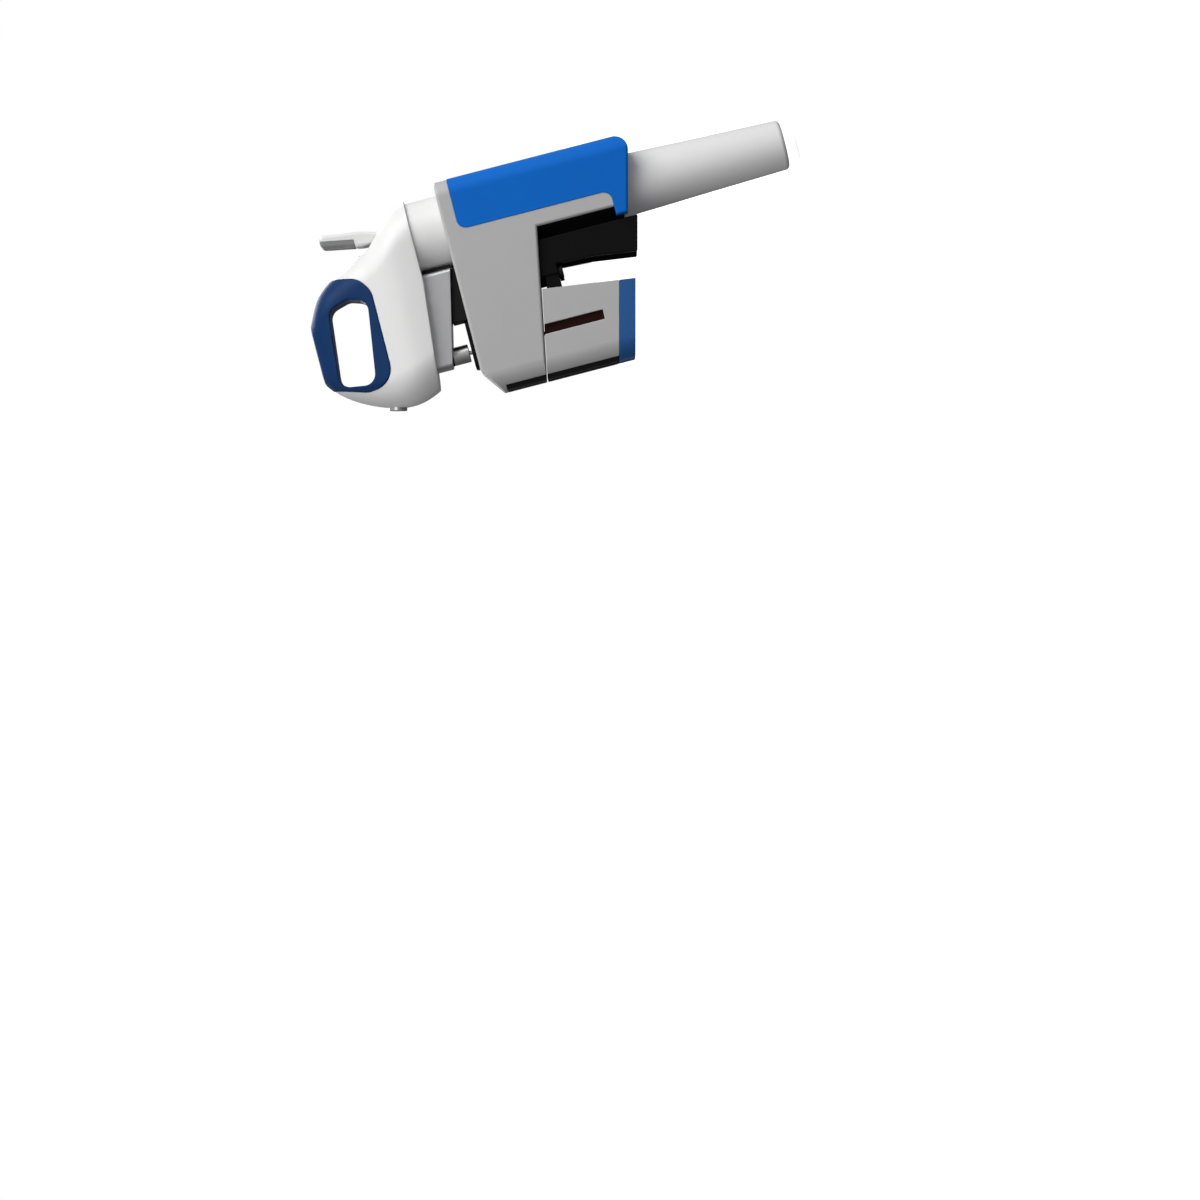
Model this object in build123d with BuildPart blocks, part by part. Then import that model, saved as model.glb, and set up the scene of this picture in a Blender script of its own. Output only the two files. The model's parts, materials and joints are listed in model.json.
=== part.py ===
from build123d import *
from math import cos, pi, radians, sin, tan
import os

# Hand-worked needle opener: the head drives the needle down, a trigger lets gas in, the spout pours.
# The needle runs along Z and the mouth that it is clamped on seats at Z = 0, under the frame's top.
# X points from the needle to the gas capsule, so the spout faces -X. Left is -Y, right is +Y.

# Layout
capsule_axis = 53.8
tube_radius = 16.0
slant = 14.5
slope = tan(radians(slant))
edge_slant = 11.0
edge_slope = tan(radians(edge_slant))
travel = 56.0
far = 250.0
tube_front = capsule_axis - tube_radius
tube_back = capsule_axis + tube_radius

# Fits
running = 0.05
gap = 0.3

# Frame shells
frame_half = tube_radius + 5.5
frame_front = -20.3
frame_back = tube_back + 4.4
frame_top = 7.6
frame_wall = 2.4
nose_run = 10.8
nose_drop = 7.6
frame_edge = -22.9
bar_edge = capsule_axis - 9.3
foot_edge = capsule_axis - 12.8
foot_top = -66.0
sleeve_end = -74.2
back_corner = 7.0
tail_corner = 6.0
frame_round = 1.2
inner_half = frame_half - frame_wall
inner_back = frame_back - frame_wall
inner_top = frame_top - frame_wall

# Grip saddle
saddle_edge = capsule_axis - 2.3
saddle_top = 1.4
saddle_depth = 1.2
saddle_proud = 0.3
saddle_corner = 4.0

# Regulator tube, cup and sleeve
tube_wall = 1.8
tube_low = -45.0
sleeve_bore = tube_radius + 0.6
sleeve_pocket = tube_radius + 1.2
sleeve_radius = tube_radius + 2.3
bush_length = 10.0
rib_edge = capsule_axis + 3.6

# Chassis deck
deck_front = 17.5
deck_low = -10.0

# Neck socket and needle guide
socket_radius = 15.7
socket_wall = 1.5
socket_depth = 11.0
socket_flange = 3.6
seal_thickness = 1.2
seal_radius = 13.5
guide_radius = 4.0
guide_plate = 1.8
guide_front = -8.0
guide_back = 13.6
guide_half = 9.0
guide_corner = 3.0

# Guide rod
rod_radius = 2.5
rod_top = 22.0
rod_bush_radius = 4.0
rod_x = capsule_axis - sleeve_radius - rod_bush_radius - 2 * gap
stop_length = 4.0
stop_top = deck_low - travel - gap

# Needle
needle_radius = 0.9
needle_bore = 0.45
tip_park = 4.0
needle_tip = tip_park - travel
needle_point = 5.0
hub_radius = 4.0
hub_low = frame_top + guide_plate + 4 * gap
stud_radius = 2.4
stud_length = 5.0
hub_seal = 0.9

# Valve housing
housing_front = -4.8
housing_back = tube_front - gap
housing_half = 11.0
housing_top = 30.0
housing_corner = 2.0
under_rise = 10.3
under_back = 1.7
under_height = frame_top + under_rise
under_slope = (under_rise - under_back) / housing_back
hub_seat = under_height + 0.9
barrel_height = 36.0
barrel_front = 4.0
barrel_radius = 6.0
barrel_web = 4.0
bore_end = 5.2
spool_radius = 3.2
spool_front = 12.0
spool_back = housing_back - 2.0
spool_grooves = (16.0, 30.0)
groove_width = 1.6
groove_depth = 0.9
stem_radius = 1.8
port_x = -1.0
port_radius = 1.0

# Head shells: height, front, back and half width of each level
head_levels = [
    (22.0, -9.0, tube_back + 1.2, tube_radius + 1.8),
    (27.0, -12.9, tube_back - 1.0, tube_radius + 2.2),
    (34.0, -15.6, tube_back - 6.0, tube_radius + 2.0),
    (42.0, -16.3, tube_back - 13.4, 16.2),
    (50.0, -14.6, tube_back - 19.0, 13.9),
    (58.0, -11.4, tube_back - 23.2, 12.5),
    (65.0, -7.4, tube_back - 27.4, 11.5),
    (70.0, -3.4, tube_back - 32.8, 9.8),
    (74.6, 2.6, tube_back - 42.0, 5.6),
]
head_roundness = 0.92
head_wall = 2.0
head_crown = 3.4
head_low = head_levels[0][0]
head_floor = head_low + head_wall
chin_back = 34.0
chin_slope = 0.103

# Finger loop
loop_proud = 0.4
loop_outline = [
    (-5.2, 44.8),
    (36.0, 44.8),
    (42.6, 49.4),
    (45.4, 60.0),
    (41.0, 82.0),
    (1.5, 82.0),
    (-6.4, 57.0),
]
loop_corner = 9.5
hole_outline = [(-3.8, 53.0), (32.4, 47.6), (35.0, 56.0), (32.4, 65.0), (-1.2, 68.6)]
hole_corner = 5.0

# Spout and tubes
spout_x = -15.5
spout_z = 46.8
spout_radius = 4.0
spout_bore = 2.6
spout_proud = 1.2
spout_depth = 8.0
outlet_depth = 7.0
wine_tube_radius = 1.8
wine_bend = 5.0
gas_tube_radius = 1.5
gas_tube_bore = 0.8
gas_tube_height = 28.0
gas_tube_low = -4.0
gas_bend = 2.0

# Regulator
nose_radius = tube_radius - 2.9
nose_low = -57.0
regulator_top = 4.0
chamber_radius = 9.0
chamber_low = -30.0
gas_tube_x = capsule_axis - chamber_radius - 2.4
piston_low = -29.0
piston_height = 9.0
piston_stem = 3.0
stem_height = 8.0
nub_radius = 2.0
adjuster_height = 4.0
adjuster_key = 3.0
pin_radius = 1.2
pin_bore = 0.5
pin_low = -62.0
pin_high = -48.0
pin_point = 2.5
gasket_thickness = 1.5
gasket_radius = 4.6
groove_radius = tube_radius - 1.6
lip_radius = tube_radius - 0.8
lip_height = 2.0
lip_bore = tube_radius - 3.0
lip_flat = tube_back - 3.4

# Capsule and cup
cup_collar = -69.5
cup_taper = -75.0
cup_taper_radius = tube_radius - 2.6
cup_end = -145.0
cup_end_radius = 10.9
cup_edge = 2.0
cup_floor = 2.2
thread_radius = tube_radius - 1.6
thread_depth = 12.2
thread_clearance = 0.1
buffer_thickness = 2.5
capsule_radius = 9.2
cup_bore = capsule_radius + 0.5
capsule_neck = 4.4
capsule_neck_length = 7.0
capsule_shoulder = 13.0
capsule_dome = 3.0
capsule_wall = 1.6

# Trigger
trigger_x = capsule_axis + 5.0
trigger_z = 29.0
trigger_half = 8.0
trigger_boss = 4.0
trigger_pin_radius = 1.5
trigger_pin_half = 13.5
trigger_outline = [
    (trigger_x - 3.6, trigger_z),
    (trigger_x - 2.6, 44.0),
    (trigger_x + 0.7, 61.5),
    (trigger_x + 6.4, 62.0),
    (trigger_x + 4.0, 44.0),
    (trigger_x + 2.0, 37.0),
    (trigger_x + 2.0, trigger_z),
]
trigger_round = 2.0
trigger_edge = 1.4
pad_thickness = 3.0
pad_foot = 47.0
slot_edge = trigger_x - 6.4
slot_low = 33.0
slot_high = 46.5
slot_clearance = 0.6

# Clamp
hinge_x = 24.5
hinge_y = 11.5
hinge_radius = 2.0
hinge_top = 0.0
hinge_head = 3.4
hinge_head_height = 1.8
knuckle_radius = 4.2
knuckle_low = -35.6
knuckle_high = -15.0
tab_inner = 14.0
tab_outer = 18.6
tab_top = -21.0
tab_step = 22.8
tab_front = 27.0
tab_waist = 26.2
tab_waist_z = -51.8
tab_toe = 23.6
tab_end = -64.9
tab_swept = 11.0
arm_skin = 2.7
arm_outer = 17.6
arm_high = -29.2
jaw_half = frame_half - 0.5
jaw_back = 17.8
jaw_toe = 12.3
jaw_part = 3.5
jaw_corner = 9.0
jaw_rear_x = 6.0
jaw_rear_y = 11.0
jaw_gap = 0.5
front_depth = 2.0
nose_strip_top = -1.5
jaw_end = -64.0
jaw_band = 7.0
neck_radius = 14.75
liner_thickness = 1.3
pad_x = 0.6
pad_width = 4.2
pad_low = -50.0
pad_proud = 0.15
pad_recess = 1.6

# Springs
clamp_coil = 2.9
clamp_wire = 0.45
clamp_turns = 3
spool_coil = 2.5
spool_wire = 0.35
spool_turns = 5
regulator_coil = 6.4
regulator_wire = 0.9
regulator_turns = 5

# Screws
screw_radius = 1.2
screw_head = 2.3
screw_head_height = 1.0
saddle_screw_x = capsule_axis + 8.6
saddle_screw_heights = (-8.0, -60.0)
saddle_screw_depth = 4.6
deck_screw_x = 21.0
deck_screw_z = 2.4
deck_boss = 2.6
deck_boss_end = 14.0
head_screw_spots = ((-9.5, 33.0), (housing_back + 8.4, 43.0))
head_boss = 3.4
head_screw_seat = 9.0
head_screw_end = 9.0
rest_spans = ((9.0, 13.0), (26.0, 30.0))
rest_high = 29.0

# Derived
upright = (Align.CENTER, Align.CENTER, Align.MIN)
sleeve_height = sleeve_end + slope * capsule_axis
sleeve_inner = sleeve_height + saddle_depth / cos(radians(slant))
lower_bush = sleeve_inner - slope * (capsule_axis - sleeve_pocket)
liner_outer = neck_radius + liner_thickness
arm_front = ((liner_outer + arm_skin) ** 2 - tab_inner**2) ** 0.5
tab_back = capsule_axis - (sleeve_radius**2 - tab_swept**2) ** 0.5 - gap
saddle_seat = frame_half - saddle_depth
saddle_screw_tip = saddle_seat - saddle_screw_depth
deck_seat = frame_half - screw_head_height
cup_top = tube_low - gap
gasket_low = nose_low - gasket_thickness
buffer_top = cup_end + cup_floor + buffer_thickness


def slanted(x, height, grade=slope):
    # Z of a slanted edge that stands at this height on the needle axis
    return height - grade * x


def underside(x):
    # Z of the valve housing's sloping underside
    return under_height - under_slope * x


def post(x, y, low, high, radius, mode=Mode.ADD):
    # Cylinder standing along Z
    with Locations((x, y, low)):
        Cylinder(radius, high - low, align=upright, mode=mode)


def cross_pin(x, z, start, end, radius, mode=Mode.ADD):
    # Cylinder lying along Y
    with Locations(Location((x, start, z), (-90, 0, 0))):
        Cylinder(radius, end - start, align=upright, mode=mode)


def shaft(z, start, end, radius, mode=Mode.ADD):
    # Cylinder lying along X in the middle plane
    with Locations(Location((start, 0, z), (0, 90, 0))):
        Cylinder(radius, end - start, align=upright, mode=mode)


def block(x, y, z, mode=Mode.ADD):
    # Box between pairs of coordinates
    with Locations(((x[0] + x[1]) / 2, (y[0] + y[1]) / 2, (z[0] + z[1]) / 2)):
        Box(x[1] - x[0], y[1] - y[0], z[1] - z[0], mode=mode)


def plate(outline, start, end, corner=0.0, tail=0.0, grow=0.0):
    # Solid of a side outline in X and Z, between two distances along Y; tail rounds its lowest corner
    with BuildPart() as solid:
        with BuildSketch(Plane.XZ.offset(-start)) as side:
            with BuildLine():
                Polyline(*outline, close=True)
            make_face()
            if corner:
                fillet(side.vertices(), corner)
            if tail:
                fillet(side.vertices().sort_by(Axis.Y)[0], tail)
            if grow:
                offset(amount=grow, kind=Kind.INTERSECTION)
        extrude(amount=start - end)
    return solid.part


def ring(x, low, high, outer, inner):
    # Plain ring standing along Z in the middle plane
    with BuildPart() as hoop:
        post(x, 0, low, high, outer)
        post(x, 0, low, high, inner, Mode.SUBTRACT)
    return hoop


def coil(radius, wire, length, turns):
    # Spring wire wound round Z from the origin, in quarter turns
    quarters = 4 * turns
    with BuildLine() as path:
        for quarter in range(quarters):
            angles = [(quarter + part) * pi / 2 for part in (0, 0.5, 1)]
            rise = length / (2 * pi * turns)
            ThreePointArc(*[(radius * cos(a), radius * sin(a), rise * a) for a in angles])
    with BuildPart() as spring:
        with BuildSketch(Plane(origin=path.line @ 0, z_dir=path.line % 0)):
            Circle(wire)
        sweep(path=path.line)
    return spring.part


def pipe(points, bend, radius, bore):
    # Tube along a bent path in the middle plane
    with BuildLine() as path:
        FilletPolyline(*points, radius=bend)
    with BuildPart() as tube:
        with BuildSketch(Plane(origin=path.line @ 0, z_dir=path.line % 0)):
            Circle(radius)
            Circle(bore, mode=Mode.SUBTRACT)
        sweep(path=path.line)
    return tube


def mirrored(piece):
    # The left-hand twin of a right-hand piece
    with BuildPart() as twin:
        mirror(piece.part, about=Plane.XZ)
    return twin


def half(piece, keep):
    # One side of a piece that is parted in the middle plane
    with BuildPart() as side:
        add(piece.part)
        split(bisect_by=Plane.XZ, keep=keep)
    return side


# Frame body and its hollow
frame_outline = [
    (frame_back, frame_top),
    (frame_front + nose_run, frame_top),
    (frame_front, frame_top - nose_drop),
    (frame_front, slanted(frame_front, frame_edge, edge_slope)),
    (bar_edge, slanted(bar_edge, frame_edge, edge_slope)),
    (bar_edge, foot_top),
    (foot_edge, foot_top),
    (foot_edge, slanted(foot_edge, sleeve_height)),
    (frame_back, slanted(frame_back, sleeve_height)),
]
hollow_outline = frame_outline[:3] + [(frame_front, -far), (frame_back, -far)]


def frame_prism(outline, grow):
    # Solid of a side outline with the frame's width and its rounded back, grown or shrunk all round
    with BuildPart() as prism:
        add(plate(outline, -frame_half - grow, frame_half + grow, grow=grow))
        with BuildSketch(Plane.XY.offset(-far)) as plan:
            with Locations(((frame_front + frame_back) / 2, 0)):
                Rectangle(frame_back - frame_front + 2 * grow, 2 * (frame_half + grow))
            fillet(plan.vertices().group_by(Axis.X)[-1], back_corner + grow)
        extrude(amount=2 * far, mode=Mode.INTERSECT)
    return prism


def tail_block(grow):
    # Room above the sleeve's slanted end, with the corner at the back of that end rounded
    tail_outline = [
        (frame_back, far),
        (-far, far),
        (-far, slanted(-far, sleeve_height)),
        (frame_back, slanted(frame_back, sleeve_height)),
    ]
    return plate(tail_outline, -far, far, tail=tail_corner, grow=grow)


def nose_block(grow):
    # Room behind the frame's front, with the two upright corners rounded
    with BuildPart() as room:
        with BuildSketch(Plane.XY.offset(-far)) as plan:
            with Locations((frame_front - grow, 0)):
                Rectangle(far, 2 * (frame_half + grow), align=(Align.MIN, Align.CENTER))
            fillet(plan.vertices().group_by(Axis.X)[0], jaw_corner + grow)
        extrude(amount=2 * far)
    return room.part


def frame_slab(grow):
    # Outer body of the frame with its side edges, its tail and its nose rounded
    with BuildPart() as slab:
        add(frame_prism(frame_outline, grow).part)
        sides = slab.faces().filter_by(Axis.Y).edges()
        flat_end = frame_back - back_corner - running
        fillet(sides.filter_by_position(Axis.X, frame_front - far, flat_end), frame_round)
        add(tail_block(grow), mode=Mode.INTERSECT)
        add(nose_block(grow), mode=Mode.INTERSECT)
    return slab.part


with BuildPart() as hollow:
    add(frame_prism(hollow_outline, -frame_wall).part)
    add(nose_block(-frame_wall), mode=Mode.INTERSECT)
frame_hollow = hollow.part

# Chassis: a deck across the frame's top, and the sleeve that the tube slides in
sleeve_cut = [
    (-far, slanted(-far, sleeve_inner)),
    (far, slanted(far, sleeve_inner)),
    (far, -2 * far),
    (-far, -2 * far),
]
with BuildPart() as chassis:
    block((deck_front, inner_back), (-inner_half, inner_half), (deck_low, inner_top))
    block((rib_edge, inner_back), (-inner_half, inner_half), (-far, inner_top))
    post(capsule_axis, 0, -far, inner_top, sleeve_radius)
    add(plate(sleeve_cut, -far, far), mode=Mode.SUBTRACT)
    add(frame_hollow, mode=Mode.INTERSECT)
    add(tail_block(-saddle_depth), mode=Mode.INTERSECT)
    post(capsule_axis, 0, -far, far, sleeve_bore, Mode.SUBTRACT)
    post(capsule_axis, 0, inner_top - bush_length, inner_top, sleeve_pocket, Mode.SUBTRACT)
    post(capsule_axis, 0, -far, lower_bush + bush_length, sleeve_pocket, Mode.SUBTRACT)
    post(rod_x, 0, deck_low, far, rod_bush_radius, Mode.SUBTRACT)
    for side in (-hinge_y, hinge_y):
        post(hinge_x, side, deck_low, hinge_top, hinge_radius, Mode.SUBTRACT)
    for z in saddle_screw_heights:
        cross_pin(saddle_screw_x, z, -far, -saddle_screw_tip, screw_radius, Mode.SUBTRACT)
        cross_pin(saddle_screw_x, z, saddle_screw_tip, far, screw_radius, Mode.SUBTRACT)
    cross_pin(deck_screw_x, deck_screw_z, -deck_boss_end, far, screw_radius, Mode.SUBTRACT)
    cross_pin(deck_screw_x, deck_screw_z, -far, -deck_boss_end, deck_boss, Mode.SUBTRACT)

# Grip saddle: a skin round the back of the sleeve, with a turned-down tail at its lower end
saddle_outline = [
    (saddle_edge, saddle_top),
    (saddle_edge, foot_top),
    (foot_edge - far, foot_top),
    (foot_edge - far, -far),
    (frame_back + far, -far),
    (frame_back + far, saddle_top),
]
with BuildPart() as saddle_skin:
    add(frame_slab(saddle_proud))
    add(plate(saddle_outline, -far, far, corner=saddle_corner), mode=Mode.INTERSECT)
    add(frame_slab(-saddle_depth), mode=Mode.SUBTRACT)
    post(capsule_axis, 0, -far, far, sleeve_pocket, Mode.SUBTRACT)
with BuildPart() as grip_saddle:
    add(saddle_skin.part)
    add(chassis.part, mode=Mode.SUBTRACT)
    for z in saddle_screw_heights:
        pocket = saddle_seat + screw_head_height
        cross_pin(saddle_screw_x, z, -pocket, pocket, screw_head, Mode.SUBTRACT)

# Front strip in the frame's nose
front_inner = frame_front + front_depth
with BuildPart() as nose_strip:
    add(frame_slab(0))
    block((-far, front_inner), (-far, far), (-far, nose_strip_top), Mode.INTERSECT)

# Frame shells
with BuildPart() as frame_hull:
    add(frame_slab(0))
    add(frame_hollow, mode=Mode.SUBTRACT)
    add(nose_strip.part, mode=Mode.SUBTRACT)
    add(saddle_skin.part, mode=Mode.SUBTRACT)
    post(capsule_axis, 0, -far, far, sleeve_bore, Mode.SUBTRACT)
    post(rod_x, 0, 0, far, rod_bush_radius, Mode.SUBTRACT)
    post(0, 0, 0, far, guide_radius, Mode.SUBTRACT)
    cross_pin(deck_screw_x, deck_screw_z, -deck_seat, -deck_boss_end, deck_boss)
    cross_pin(deck_screw_x, deck_screw_z, -inner_half, far, screw_radius, Mode.SUBTRACT)
    cross_pin(deck_screw_x, deck_screw_z, deck_seat, far, screw_head, Mode.SUBTRACT)
    for z in saddle_screw_heights:
        cross_pin(saddle_screw_x, z, -far, far, screw_radius, Mode.SUBTRACT)
frame_shell_left = half(frame_hull, Keep.TOP)
frame_shell_right = half(frame_hull, Keep.BOTTOM)

# Bushes of the sleeve and the guide rod
bush_bore = tube_radius + running
sleeve_bush_upper = ring(capsule_axis, inner_top - bush_length, inner_top, sleeve_pocket, bush_bore)
sleeve_bush_lower = ring(capsule_axis, lower_bush, lower_bush + bush_length, sleeve_pocket, bush_bore)
rod_bush = ring(rod_x, deck_low, frame_top, rod_bush_radius, rod_radius + running)

# Screws of the frame: four under the saddle, one through the deck
with BuildPart() as frame_screws:
    for z in saddle_screw_heights:
        cross_pin(saddle_screw_x, z, saddle_screw_tip, saddle_seat, screw_radius)
        cross_pin(saddle_screw_x, z, saddle_seat, saddle_seat + screw_head_height, screw_head)
        cross_pin(saddle_screw_x, z, -saddle_seat, -saddle_screw_tip, screw_radius)
        cross_pin(saddle_screw_x, z, -saddle_seat - screw_head_height, -saddle_seat, screw_head)
    cross_pin(deck_screw_x, deck_screw_z, -inner_half, deck_seat, screw_radius)
    cross_pin(deck_screw_x, deck_screw_z, deck_seat, frame_half, screw_head)

# Neck socket: a flange under the frame's top and a skirt round the mouth seat
with BuildPart() as neck_socket:
    post(0, 0, -socket_depth, inner_top, socket_radius + socket_wall)
    block((frame_front, deck_front), (-inner_half, inner_half), (inner_top - socket_flange, inner_top))
    add(frame_hollow, mode=Mode.INTERSECT)
    post(0, 0, -socket_depth, 0, socket_radius, Mode.SUBTRACT)
    post(0, 0, 0, seal_thickness, seal_radius, Mode.SUBTRACT)
    post(0, 0, 0, far, guide_radius, Mode.SUBTRACT)

mouth_seal = ring(0, 0, seal_thickness, seal_radius, guide_radius)

# Needle guide: a plate on the frame's top with a boss down to the mouth seat
with BuildPart() as needle_guide:
    with BuildSketch(Plane.XY.offset(frame_top)):
        with Locations(((guide_front + guide_back) / 2, 0)):
            RectangleRounded(guide_back - guide_front, 2 * guide_half, guide_corner)
    extrude(amount=guide_plate)
    post(0, 0, gap, frame_top, guide_radius)
    post(0, 0, 0, far, needle_radius + running, Mode.SUBTRACT)

# Buffer wedge that the valve housing lands on
buffer_back = housing_back - gap
wedge_outline = [
    (guide_back, frame_top),
    (buffer_back, frame_top),
    (buffer_back, underside(buffer_back) - gap),
    (guide_back, underside(guide_back) - gap),
]
with BuildPart() as head_buffer:
    add(plate(wedge_outline, -guide_half, guide_half))
    post(rod_x, 0, 0, far, rod_bush_radius, Mode.SUBTRACT)

# Clamp pins: shoulder screws hanging from the deck
with BuildPart() as clamp_pins:
    for side in (-hinge_y, hinge_y):
        post(hinge_x, side, knuckle_low - gap, hinge_top, hinge_radius)
        post(hinge_x, side, knuckle_low - gap - hinge_head_height, knuckle_low - gap, hinge_head)

# Clamp springs, one round each pin
spring_room = deck_low - knuckle_high - 2 * (clamp_wire + gap)
spring_base = knuckle_high + clamp_wire + gap
with BuildPart() as clamp_spring_right:
    wound = coil(clamp_coil, clamp_wire, spring_room, clamp_turns)
    add(wound.moved(Location((hinge_x, hinge_y, spring_base))))
clamp_spring_left = mirrored(clamp_spring_right)

# Clamp lever: knuckle on the pin, finger tab behind it, arm into the jaw in front
tab_outline = [
    (tab_step, tab_top),
    (tab_step, knuckle_low),
    (tab_front, knuckle_low),
    (tab_waist, tab_waist_z),
    (tab_toe, slanted(tab_toe, tab_end)),
    (tab_back, slanted(tab_back, tab_end)),
    (tab_back, tab_top),
]
with BuildPart() as clamp_lever_right:
    add(plate(tab_outline, tab_inner, tab_outer))
    block((arm_front, hinge_x), (tab_inner, arm_outer), (knuckle_low, arm_high))
    post(hinge_x, hinge_y, knuckle_low, knuckle_high, knuckle_radius)
    post(hinge_x, hinge_y, -far, far, hinge_radius + running, Mode.SUBTRACT)
    head_room = knuckle_low - hinge_head_height - 2 * gap
    post(hinge_x, hinge_y, head_room, knuckle_low, hinge_head + gap, Mode.SUBTRACT)
clamp_lever_left = mirrored(clamp_lever_right)

# Clamp jaw: a grey shell with a slot, a rubber liner that ends in a band, and a pad in the slot
jaw_top_gap = frame_edge - jaw_gap / cos(radians(edge_slant))
band_edge = jaw_end + jaw_band / cos(radians(slant))


def jaw_profile(low, back_low):
    # Side outline of the jaw from under the frame's edge down to a slanted lower edge
    return [
        (frame_front, slanted(frame_front, jaw_top_gap, edge_slope)),
        (jaw_back, slanted(jaw_back, jaw_top_gap, edge_slope)),
        (back_low, slanted(back_low, low)),
        (frame_front, slanted(frame_front, low)),
    ]


def jaw_body(bore, outline):
    # Right-hand jaw with a round bore, trimmed to a side outline
    with BuildPart() as body:
        with BuildSketch(Plane.XY.offset(-far)) as plan:
            with Locations(((frame_front + jaw_back) / 2, 0)):
                Rectangle(jaw_back - frame_front, 2 * jaw_half)
            fillet(plan.vertices().group_by(Axis.X)[0], jaw_corner)
            Circle(bore, mode=Mode.SUBTRACT)
            with Locations((frame_front, -far + jaw_part)):
                Rectangle(2 * far, 2 * far, align=(Align.CENTER, Align.CENTER), mode=Mode.SUBTRACT)
            with Locations((jaw_rear_x, jaw_rear_y)):
                Rectangle(far, far, align=(Align.MIN, Align.MAX), mode=Mode.SUBTRACT)
        extrude(amount=2 * far)
        add(plate(outline, 0, far), mode=Mode.INTERSECT)
    return body.part


back_height = jaw_top_gap + (slope - edge_slope) * jaw_back
band_back = jaw_toe + (jaw_back - jaw_toe) * (band_edge - jaw_end) / (back_height - jaw_end)
shell_outline = jaw_profile(band_edge, band_back)
whole_outline = jaw_profile(jaw_end, jaw_toe)
slot_outline = [
    (pad_x - pad_width / 2, 0),
    (pad_x + pad_width / 2, 0),
    (pad_x + pad_width / 2, pad_low),
    (pad_x - pad_width / 2, pad_low),
]
jaw_slot = plate(slot_outline, 0, far)
with BuildPart() as jaw_lip_right:
    add(jaw_body(liner_outer, shell_outline))
    block((-far, front_inner), (0, far), (-far, far), Mode.INTERSECT)
with BuildPart() as clamp_jaw_right:
    add(jaw_body(liner_outer, shell_outline))
    add(jaw_slot, mode=Mode.SUBTRACT)
    add(jaw_lip_right.part, mode=Mode.SUBTRACT)
    block((arm_front, hinge_x), (tab_inner, arm_outer), (knuckle_low, arm_high), Mode.SUBTRACT)
with BuildPart() as jaw_liner_right:
    add(jaw_body(neck_radius, whole_outline))
    add(jaw_body(liner_outer, shell_outline), mode=Mode.SUBTRACT)
    add(jaw_slot, mode=Mode.SUBTRACT)
with BuildPart() as neck_pad_right:
    add(jaw_body(neck_radius - pad_proud, whole_outline))
    add(jaw_slot, mode=Mode.INTERSECT)
    block((-far, far), (jaw_half - pad_recess, far), (-far, far), Mode.SUBTRACT)
clamp_jaw_left = mirrored(clamp_jaw_right)
jaw_liner_left = mirrored(jaw_liner_right)
neck_pad_left = mirrored(neck_pad_right)
jaw_lip_left = mirrored(jaw_lip_right)


# Head
def head_body(inset):
    # Body of the head with a rounded crown, or the plain hollow that an inset leaves in it
    lowest = head_levels[0]
    highest = head_levels[-1]
    with BuildPart() as body:
        for level in head_levels:
            lift = inset if level == lowest else 0
            drop = inset if level == highest else 0
            z, front, back, half_width = level
            wide = half_width - inset
            with BuildSketch(Plane.XY.offset(z + lift - drop)):
                with Locations(((front + back) / 2, 0)):
                    RectangleRounded(back - front - 2 * inset, 2 * wide, head_roundness * wide)
        loft()
        if inset <= 0:
            fillet(body.faces().sort_by(Axis.Z)[-1].edges(), head_crown)
    return body.part


def chin(lift):
    # Room under the front of the head, where its underside rises towards the spout
    chin_outline = [
        (chin_back, head_low + lift),
        (chin_back - far, head_low + lift + chin_slope * far),
        (chin_back - far, -far),
        (chin_back, -far),
    ]
    return plate(chin_outline, -far, far)


# Finger loop: a lining that also makes the handle's top bar
with BuildPart() as finger_loop:
    add(plate(loop_outline, -far, far, corner=loop_corner))
    add(head_body(-loop_proud), mode=Mode.INTERSECT)
    add(plate(hole_outline, -far, far, corner=hole_corner), mode=Mode.SUBTRACT)

# Spout and the tubes inside the head
spout_plane = Plane(
    origin=(spout_x, 0, spout_z), z_dir=(-cos(radians(slant)), 0, sin(radians(slant)))
)
with BuildPart() as spout:
    with BuildSketch(spout_plane.offset(-spout_depth)):
        Circle(spout_radius)
    extrude(amount=spout_depth + spout_proud)
    with BuildSketch(spout_plane.offset(spout_proud)):
        Circle(spout_bore)
    extrude(amount=-outlet_depth, mode=Mode.SUBTRACT)
    with BuildSketch(spout_plane.offset(-spout_depth)):
        Circle(port_radius)
    extrude(amount=spout_depth, mode=Mode.SUBTRACT)
spout_inner = spout_plane.offset(-spout_depth).origin
wine_corner = spout_z - slope * (port_x - spout_x)
wine_route = [(port_x, 0, housing_top), (port_x, 0, wine_corner), spout_inner]
wine_tube = pipe(wine_route, wine_bend, wine_tube_radius, port_radius)
gas_route = [
    (gas_tube_x, 0, gas_tube_low),
    (gas_tube_x, 0, gas_tube_height),
    (housing_back, 0, gas_tube_height),
]
gas_tube = pipe(gas_route, gas_bend, gas_tube_radius, gas_tube_bore)


def tube_lip(grow):
    # Lip that hangs the regulator tube on the head's floor, flat at the back
    with BuildPart() as lip:
        post(capsule_axis, 0, head_floor, head_floor + lip_height + grow, lip_radius + grow)
        block((lip_flat + grow, far), (-far, far), (head_floor, far), Mode.SUBTRACT)
    return lip.part


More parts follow.
